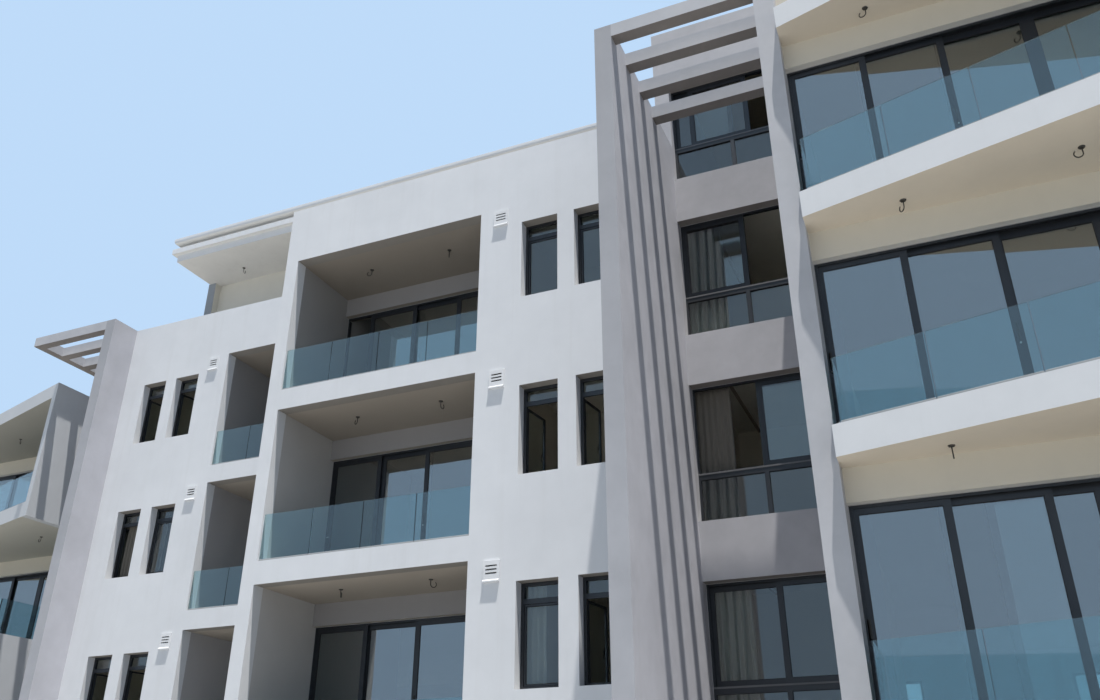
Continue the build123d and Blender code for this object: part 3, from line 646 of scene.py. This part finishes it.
def addSash(sashes, panes, handles, v, left, width, face, level, turn):
    foot = level + v["sill"] + v["frame"] + v["clearance"]
    rail = level + v["head"] - v["transom"] - v["transomHalf"]
    wide = width - 2 * v["clearance"]
    high = rail - v["clearance"] - foot
    front = v["frameBack"] + v["turnedBehind"] if turn else v["frameFront"] + v["shutBehind"]
    hinge = Matrix.Translation(place(left + v["clearance"], face + front, foot)) @ turned(turn, "Z")
    addRing(sashes, wide, high, v["sashBar"], v["sashDepth"], hinge, v["sashEdge"])
    bars = 2 * (v["sashBar"] - v["paneBite"])
    addBlock(panes, (wide - bars, v["pane"], high - bars),
             hinge @ moved(wide / 2, v["sashDepth"] / 2, high / 2))
    knob = hinge @ moved(wide - v["sashBar"] / 2, v["sashDepth"] + v["handlePlate"][1] / 2,
                         high * v["handleLevel"])
    addBlock(handles, v["handlePlate"], knob, v["plateEdge"])
    addBlock(handles, v["handleGrip"], knob @ moved(*v["gripPlace"]), v["gripEdge"])


def makeSmallWindows(v):
    sashes = bmesh.new()
    panes = bmesh.new()
    handles = bmesh.new()
    width = v["width"] - 2 * v["frame"]
    for name, wing in v["wings"].items():
        for column in range(v["columns"]):
            near = wing["jamb"] + wing["side"] * (v["offset"] + column * (v["width"] + v["gap"]))
            left = min(near, near + wing["side"] * v["width"]) + v["frame"]
            for floor in floors:
                addUpperLight(panes, v, left, width, wing["face"], storey * floor)
                turn = v["turned"].get((name, floor, column), 0)
                addSash(sashes, panes, handles, v, left, width, wing["face"], storey * floor, turn)
    finishPiece("wing_window_sashes", sashes, "darkFrame")
    glass = finishPiece("wing_window_lights", panes, "windowGlass")
    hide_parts("wing_window_glass")
    finishPiece("wing_window_handles", handles, "darkSteel")


makeSmallWindows(smallWindowValues)
print("small windows made")

# Rubber gaskets round every pane that stands in a frame, in front of it and behind it
gasketValues = {"width": 0.010, "depth": 0.006,
                "panes": ("right_balcony_door", "left_balcony_door", "right_loggia_door", "left_loggia_door",
                          "bay_window", "rear_window", "penthouse_window")}


def makeGaskets(v):
    for name in v["panes"]:
        bm = bmesh.new()
        for pane in solidsOf(name + "_glass"):
            low = pane["low"]
            size = pane["high"] - low
            for y in (low.y - v["depth"], pane["high"].y):
                addRing(bm, size.x, size.z, v["width"], v["depth"], moved(low.x, y, low.z))
        finishPiece(name + "_gaskets", bm, "rubber")


makeGaskets(gasketValues)

# Openings that the fixed frames fill on each floor, and the front of each frame
openings = {
    "right_balcony": {"left": 10.245, "right": 16.465, "sill": 0.0, "head": 2.4, "front": -1.935},
    "left_balcony": {"left": -15.83, "right": -9.61, "sill": 0.0, "head": 2.4, "front": 6.25},
    "right_loggia": {"left": 0.28, "right": 4.455, "sill": 0.0, "head": 2.4, "front": 1.835},
    "left_loggia": {"left": -3.76, "right": 0.0, "sill": 0.0, "head": 2.4, "front": 4.60},
    "right_bay": {"left": 7.736, "right": 9.90, "sill": 0.115, "head": 2.4, "front": 1.25},
    "left_bay": {"left": -9.36, "right": -7.177, "sill": 0.115, "head": 2.4, "front": 5.56},
}

# Sealant between the frames and the walls, in front of each frame
sealValues = {"width": 0.009, "depth": 0.007}


def makeSeals(v):
    bm = bmesh.new()
    for hole in openings.values():
        for floor in floors:
            corner = place(hole["left"], hole["front"] - v["depth"], storey * floor + hole["sill"])
            addRing(bm, hole["right"] - hole["left"], hole["head"] - hole["sill"], v["width"], v["depth"],
                    Matrix.Translation(corner))
    finishPiece("frame_sealant", bm, "sealant")


makeSeals(sealValues)

# Lower sliding track across each bay window above its transom, in a metal paler than the frames: a painted
# highlight on the track's edge
trackValues = {"rows": {"right_bay": 5, "left_bay": 4}, "rise": 0.906, "height": 0.026, "proud": 0.006,
               "edge": 0.001, "short": 0.01}


def makeTracks(v):
    bm = bmesh.new()
    for name, count in v["rows"].items():
        hole = openings[name]
        size = (hole["right"] - hole["left"] - 2 * v["short"], v["proud"], v["height"])
        for floor in range(count):
            middle = place((hole["left"] + hole["right"]) / 2, hole["front"] - v["proud"] / 2,
                           storey * floor + v["rise"] + v["height"] / 2)
            addBlock(bm, size, Matrix.Translation(middle), v["edge"])
    finishPiece("bay_window_tracks", bm, "trackHighlight")


makeTracks(trackValues)
print("frames fitted")

# Walls of the rooms right behind the windows, and along the right bay's ceilings a dark trim that is painted
# shade for a shadow line
roomValues = {"rooms": {"right_bay": {"left": 7.66, "right": 9.99, "front": 1.31, "depth": 3.7},
                        "right_wing": {"left": 4.75, "right": 7.30, "front": 0.25, "depth": 2.6},
                        "left_wing": {"left": -6.80, "right": -4.20, "front": 3.015, "depth": 2.5}},
              "wall": 0.10, "height": 3.0, "trimX": 8.095, "trim": 0.05, "trimEdge": 0.004}


def makeRoomWalls(v):
    for name, room in v["rooms"].items():
        bm = bmesh.new()
        middleX = (room["left"] + room["right"]) / 2
        middleY = room["front"] + room["depth"] / 2
        rearY = room["front"] + room["depth"] + v["wall"] / 2
        for floor in floors:
            z = storey * floor + v["height"] / 2
            for x in (room["left"] - v["wall"] / 2, room["right"] + v["wall"] / 2):
                addBlock(bm, (v["wall"], room["depth"], v["height"]),
                         Matrix.Translation(place(x, middleY, z)))
            addBlock(bm, (room["right"] - room["left"] + 2 * v["wall"], v["wall"], v["height"]),
                     Matrix.Translation(place(middleX, rearY, z)))
        finishPiece(name + "_room_walls", bm, "roomPaint")


# Dark strips along the right bay's ceilings: painted shade
def makeShadowLineTrims(v):
    room = v["rooms"]["right_bay"]
    bm = bmesh.new()
    for floor in floors:
        middle = place(v["trimX"], room["front"] + room["depth"] / 2,
                       storey * floor + v["height"] - v["trim"] / 2)
        addBlock(bm, (v["trim"], room["depth"], v["trim"]), Matrix.Translation(middle), v["trimEdge"])
    finishPiece("bay_ceiling_shadow_lines", bm, "shadowLinePaint")


makeRoomWalls(roomValues)
makeShadowLineTrims(roomValues)

# Grey end face of the penthouse's left side wall
endValues = {"left": -6.24, "right": -6.0, "front": 4.2, "skim": 0.004, "foot": 12.8, "height": 2.825}


def makeEndFace(v):
    bm = bmesh.new()
    middle = place((v["left"] + v["right"]) / 2, v["front"] - v["skim"] / 2, v["foot"] + v["height"] / 2)
    addBlock(bm, (v["right"] - v["left"], v["skim"], v["height"]), Matrix.Translation(middle))
    finishPiece("penthouse_end_face", bm, "endPaint")


makeEndFace(endValues)
print("room walls and end face made")

# Pulls and locks on the end leaves and the middle leaves of the sliding doors
pullValues = {"doors": ("right_balcony_doors", "left_balcony_doors", "right_loggia_doors",
                        "left_loggia_doors"),
              "leafWidth": 0.8, "leafHeight": 2.0, "height": 1.02, "inset": 0.042,
              "plate": (0.030, 0.006, 0.22), "plateEdge": 0.002,
              "grip": (0.014, 0.020, 0.20), "gripProud": 0.014, "gripEdge": 0.004,
              "lockRadius": 0.011, "lockLength": 0.012, "lockDrop": 0.15, "lockSegments": 16}


def addPull(pulls, locks, v, leaf, onRight):
    x = leaf["high"].x - v["inset"] if onRight else leaf["low"].x + v["inset"]
    at = moved(x, leaf["low"].y, leaf["low"].z + v["height"])
    addBlock(pulls, v["plate"], at @ moved(0, -v["plate"][1] / 2, 0), v["plateEdge"])
    addBlock(pulls, v["grip"], at @ moved(0, -v["gripProud"], 0), v["gripEdge"])
    addRod(locks, v["lockRadius"], v["lockLength"],
           at @ moved(0, -v["lockLength"] / 2, -v["lockDrop"]) @ turned(90, "X"), v["lockSegments"])


def isLeaf(v, solid):
    size = solid["high"] - solid["low"]
    return size.z > v["leafHeight"] and size.x > v["leafWidth"]


def makePulls(v):
    pulls = bmesh.new()
    locks = bmesh.new()
    for name in v["doors"]:
        leaves = [solid for solid in solidsOf(name) if isLeaf(v, solid)]
        for level in sorted({round(leaf["low"].z, 2) for leaf in leaves}):
            row = [leaf for leaf in leaves if round(leaf["low"].z, 2) == level]
            row.sort(key=lambda leaf: leaf["low"].x)
            half = len(row) // 2
            fitted = ((row[0], False), (row[half - 1], True), (row[half], False), (row[-1], True))
            for leaf, onRight in fitted:
                addPull(pulls, locks, v, leaf, onRight)
    finishPiece("door_pulls", pulls, "darkSteel")
    finishPiece("door_locks", locks, "lockSteel")


makePulls(pullValues)
print("doors fitted")

# Low metal channels that hold the glass rails
channelValues = {"sides": ("right_balcony", "left_balcony", "right_loggia", "left_loggia"),
                 "height": 0.035, "side": 0.014, "edge": 0.003, "thickest": 0.05}


# Long side of a pane's foot, and the pane's thickness
def footSides(foot, thickest):
    start = foot[0]
    far = max(foot, key=lambda corner: (corner - start).length)
    end = min((corner for corner in foot if (corner - start).length > thickest),
              key=lambda corner: (corner - start).length)
    return end - start, (far - end).length


def makeChannels(v):
    for side in v["sides"]:
        bm = bmesh.new()
        for pane in solidsOf(side + "_balustrade"):
            foot = pane["foot"]
            along, thick = footSides(foot, v["thickest"])
            middle = sum(foot, Vector()) / len(foot) + Vector((0, 0, v["height"] / 2))
            turn = Matrix.Rotation(math.atan2(along.y, along.x), 4, "Z")
            addBlock(bm, (along.length, thick + 2 * v["side"], v["height"]),
                     Matrix.Translation(middle) @ turn, v["edge"])
        finishPiece(side + "_rail_channel", bm, "channelMetal")


makeChannels(channelValues)

# Bent steel hooks for lamps, each under its round plate.
# Spots hold x, y, the drop below the next floor and the turn; roofSpot hangs under the penthouse's roof.
hookValues = {"rod": 0.0075, "rodSegments": 8, "plate": 0.040, "plateTaper": 0.8, "plateDepth": 0.014,
              "plateSegments": 20, "shank": 0.075, "bend": 0.048, "sweep": 235, "steps": 14, "floorTurn": 37,
              "spots": ((11.44, -2.33, -0.385, 15), (13.39, -2.61, -0.385, 70), (1.44, 0.87, -0.4, 40),
                        (3.23, 0.83, -0.4, -30), (-1.88, 3.63, -0.4, 20), (-10.90, 4.60, -0.385, 60),
                        (-13.10, 4.90, -0.385, -20)),
              "roofSpot": (-4.78, 3.86, 15.625), "roofTurn": 100}


def addHook(bm, v, spot, turn):
    part = bmesh.new()
    plateMiddle = moved(0, 0, -v["plateDepth"] / 2)
    bmesh.ops.create_cone(part, cap_ends=True, segments=v["plateSegments"],
                          radius1=v["plate"] * v["plateTaper"], radius2=v["plate"],
                          depth=v["plateDepth"], matrix=plateMiddle)
    ring = bmesh.ops.create_circle(part, cap_ends=True, segments=v["rodSegments"], radius=v["rod"],
                                   matrix=plateMiddle)["verts"]
    shank = bmesh.ops.extrude_face_region(part, geom=[ring[0].link_faces[0]])["geom"]
    bmesh.ops.translate(part, vec=(0, 0, -v["shank"]), verts=onlyVerts(shank))
    tip = [item for item in shank if isinstance(item, bmesh.types.BMFace)][0]
    bmesh.ops.spin(part, geom=[tip], cent=(v["bend"], 0, -v["plateDepth"] / 2 - v["shank"]), axis=(0, -1, 0),
                   angle=math.radians(v["sweep"]), steps=v["steps"], use_merge=False, use_duplicate=False)
    bmesh.ops.recalc_face_normals(part, faces=part.faces)
    addPart(bm, part, Matrix.Translation(spot) @ turned(turn, "Z"))


def makeHooks(v):
    bm = bmesh.new()
    for x, y, drop, turn in v["spots"]:
        for floor in floors:
            above = floor + 1
            addHook(bm, v, place(x, y, storey * above + drop), turn + v["floorTurn"] * above)
    addHook(bm, v, place(*v["roofSpot"]), v["roofTurn"])
    finishPiece("lamp_hooks", bm, "darkSteel")


makeHooks(hookValues)
print("rails and hooks made")

# Curtains on rods behind the windows. Each window gives its wall's inner face, the rod's reach and ends;
# each curtain hangs at a window, on a floor, from left to right, with its fullness and its cloth.
curtainValues = {"windows": {"right_bay": {"wall": 1.31, "reach": 0.19, "rod": (7.66, 9.99)},
                             "left_bay": {"wall": 5.62, "reach": 0.19, "rod": (-9.44, -7.06)},
                             "right_wing": {"wall": 0.25, "reach": 0.13, "rod": (5.05, 6.95)},
                             "left_wing": {"wall": 3.015, "reach": 0.13, "rod": (-6.42, -4.48)}},
                 "curtains": (("right_bay", 1, 7.68, 8.36, 1.0, "curtainLinen"),
                              ("right_bay", 2, 7.68, 8.30, 0.45, "curtainBrown"),
                              ("right_bay", 3, 7.68, 8.42, 1.0, "curtainLinen"),
                              ("left_bay", 1, -7.90, -7.12, 1.0, "curtainLinen"),
                              ("left_bay", 2, -7.90, -7.12, 1.0, "curtainLinen"),
                              ("left_bay", 3, -9.40, -8.70, 1.0, "curtainLinen"),
                              ("right_wing", 1, 5.12, 5.53, 1.0, "curtainLinen"),
                              ("left_wing", 2, -6.36, -5.04, 1.0, "curtainBrown")),
                 "rod": 0.014, "rodHeight": 2.52, "rodSegments": 14, "arm": 0.02, "armInset": 0.06,
                 "plate": (0.03, 0.006, 0.06), "bracketEdge": 0.002, "foot": 0.03,
                 "rows": 14, "pleat": 0.105, "fewestPleats": 3, "perPleat": 10, "thickness": 0.0015,
                 "phase": 0.5, "swell": (0.75, 1.2), "lag": 1.6, "foldTop": 0.016, "foldBelow": 0.030,
                 "foldOpens": 3, "drift": 0.012, "driftAcross": 5.3, "driftDown": 2.1, "driftPhase": 6,
                 "weaveWidth": 1.6, "seed": 7}
chance = random.Random(curtainValues["seed"])


def makeRod(v, name, window, z):
    bm = bmesh.new()
    start, end = window["rod"]
    y = window["wall"] + window["reach"]
    addRod(bm, v["rod"], end - start, Matrix.Translation(place((start + end) / 2, y, z)) @ turned(90, "Y"),
           v["rodSegments"])
    for x in (start + v["armInset"], end - v["armInset"]):
        arm = place(x, window["wall"] + window["reach"] / 2, z)
        addBlock(bm, (v["arm"], window["reach"] + v["rod"], v["arm"]), Matrix.Translation(arm),
                 v["bracketEdge"])
        plate = place(x, window["wall"] + v["plate"][1] / 2, z)
        addBlock(bm, v["plate"], Matrix.Translation(plate), v["bracketEdge"])
    return finishPiece("curtain_rod_" + name, bm, "channelMetal")


# Moves a flat grid's points into pleats that open downwards and lean a little
def foldCloth(bm, v, left, width, y, top, height, fullness, pleats):
    phase = [chance.uniform(-v["phase"], v["phase"]) for n in range(pleats + 2)]
    swell = [chance.uniform(*v["swell"]) for n in range(pleats + 2)]
    for vert in bm.verts:
        across = vert.co.x + 0.5
        down = 0.5 - vert.co.y
        n = int(across * pleats)
        share = across * pleats - n
        lag = phase[n] * (1 - share) + phase[n + 1] * share
        size = swell[n] * (1 - share) + swell[n + 1] * share
        fold = math.sin(2 * math.pi * across * pleats + lag * down * v["lag"])
        depth = (v["foldTop"] + v["foldBelow"] * min(1, down * v["foldOpens"])) * size * fullness
        drift = v["drift"] * math.sin(v["driftAcross"] * across + v["driftDown"] * down
                                      + phase[0] * v["driftPhase"])
        vert.co = place(left + width * across, y + depth * fold + drift, top - height * down)


def makeCurtain(v, windowName, floor, left, right, fullness, cloth):
    name = windowName + "_" + str(floor)
    window = v["windows"][windowName]
    z = storey * floor + v["rodHeight"]
    rod = makeRod(v, name, window, z)
    width = right - left
    pleats = max(v["fewestPleats"], round(width / v["pleat"]))
    top = z + v["rod"]
    height = top - storey * floor - v["foot"]
    bm = bmesh.new()
    bmesh.ops.create_grid(bm, x_segments=pleats * v["perPleat"], y_segments=v["rows"], size=0.5)
    foldCloth(bm, v, left, width, window["wall"] + window["reach"], top, height, fullness, pleats)
    weave = bm.loops.layers.uv.new("weave")
    for face in bm.faces:
        for loop in face.loops:
            loop[weave].uv = (loop.vert.co.x * v["weaveWidth"], loop.vert.co.z)
    bmesh.ops.recalc_face_normals(bm, faces=bm.faces)
    flatWidth = sum(face.calc_area() for face in bm.faces) / height
    curtain = finishPiece("curtain_" + name, bm, cloth)
    curtain.data.shade_smooth()
    thickened = curtain.modifiers.new("cloth", "SOLIDIFY")
    thickened.thickness = v["thickness"]


for curtain in curtainValues["curtains"]:
    makeCurtain(curtainValues, *curtain)
print("curtains hung")

# Sloping sills in the rear windows' reveals
sillValues = {"height": 0.028, "reach": 0.185, "slope": 0.012, "edge": 0.003}


def makeSills(v):
    bm = bmesh.new()
    for window in solidsOf("rear_window_frames"):
        low = window["low"]
        high = window["high"]
        part = bmesh.new()
        bmesh.ops.create_cube(part, size=1.0)
        bmesh.ops.scale(part, vec=(high.x - low.x, v["reach"], v["height"]), verts=part.verts)
        outer = [vert for vert in part.verts if vert.co.y > 0 and vert.co.z > 0]
        bmesh.ops.translate(part, vec=(0, 0, -v["slope"]), verts=outer)
        softenEdges(part, v["edge"])
        addPart(bm, part, moved((low.x + high.x) / 2, high.y + v["reach"] / 2, low.z + v["height"] / 2))
    finishPiece("rear_window_sills", bm, "footing")


makeSills(sillValues)
print("sills made")

# Floor
floorValues = {"size": 400.0, "color": (0.33, 0.33, 0.32, 1), "roughness": 0.9}


def makeFloor(v):
    bm = bmesh.new()
    bmesh.ops.create_grid(bm, x_segments=1, y_segments=1, size=v["size"] / 2)
    mesh = bpy.data.meshes.new("studioFloor")
    bm.to_mesh(mesh)
    bm.free()
    floor = bpy.data.objects.new("studioFloor", mesh)
    scene.collection.objects.link(floor)
    material, shader = newMaterial("studioFloor")
    shader.inputs["Base Color"].default_value = v["color"]
    shader.inputs["Roughness"].default_value = v["roughness"]
    mesh.materials.append(material)


makeFloor(floorValues)
